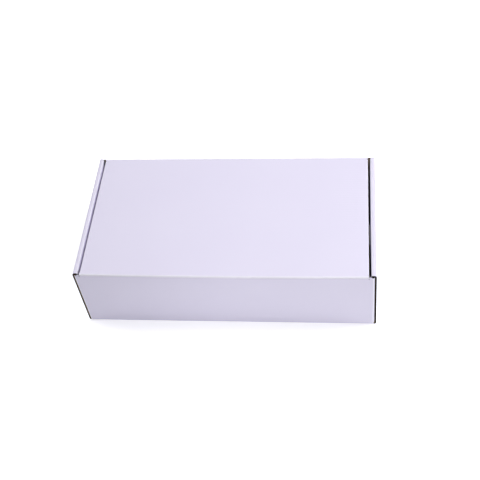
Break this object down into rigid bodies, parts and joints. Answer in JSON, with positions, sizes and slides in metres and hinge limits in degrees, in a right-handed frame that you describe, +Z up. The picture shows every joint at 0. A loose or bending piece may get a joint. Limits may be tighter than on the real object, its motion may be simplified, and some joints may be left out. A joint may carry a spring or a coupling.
{
  "type": "corrugated mailer box",
  "caption": "Shallow white corrugated mailer box with rolled side walls, a hinged flush lid and a full-height front flap with tucked ears.",
  "frame": {"origin": "middle of the base's underside", "axes": "+X to the right along the box's length, +Y from the front flap to the hinged back, +Z up"},
  "size_m": [0.32, 0.166, 0.088],
  "materials": {
    "white_board": "smooth white coated liner over brown E-flute board, satin"
  },
  "bodies": {
    "tray": {"tray": "white_board"},
    "lid": {"lid": "white_board"},
    "front_flap": {"front_flap": "white_board"}
  },
  "joints": [
    {"name": "lid_hinge", "type": "hinge", "parent": "tray", "child": "lid", "pos_m": [0, 0.083, 0.088], "axis": [-1, 0, 0], "range_deg": [0, 180]},
    {"name": "front_flap_fold", "type": "hinge", "parent": "lid", "child": "front_flap", "pos_m": [0, -0.083, 0.088], "axis": [-1, 0, 0], "range_deg": [0, 90]}
  ]
}
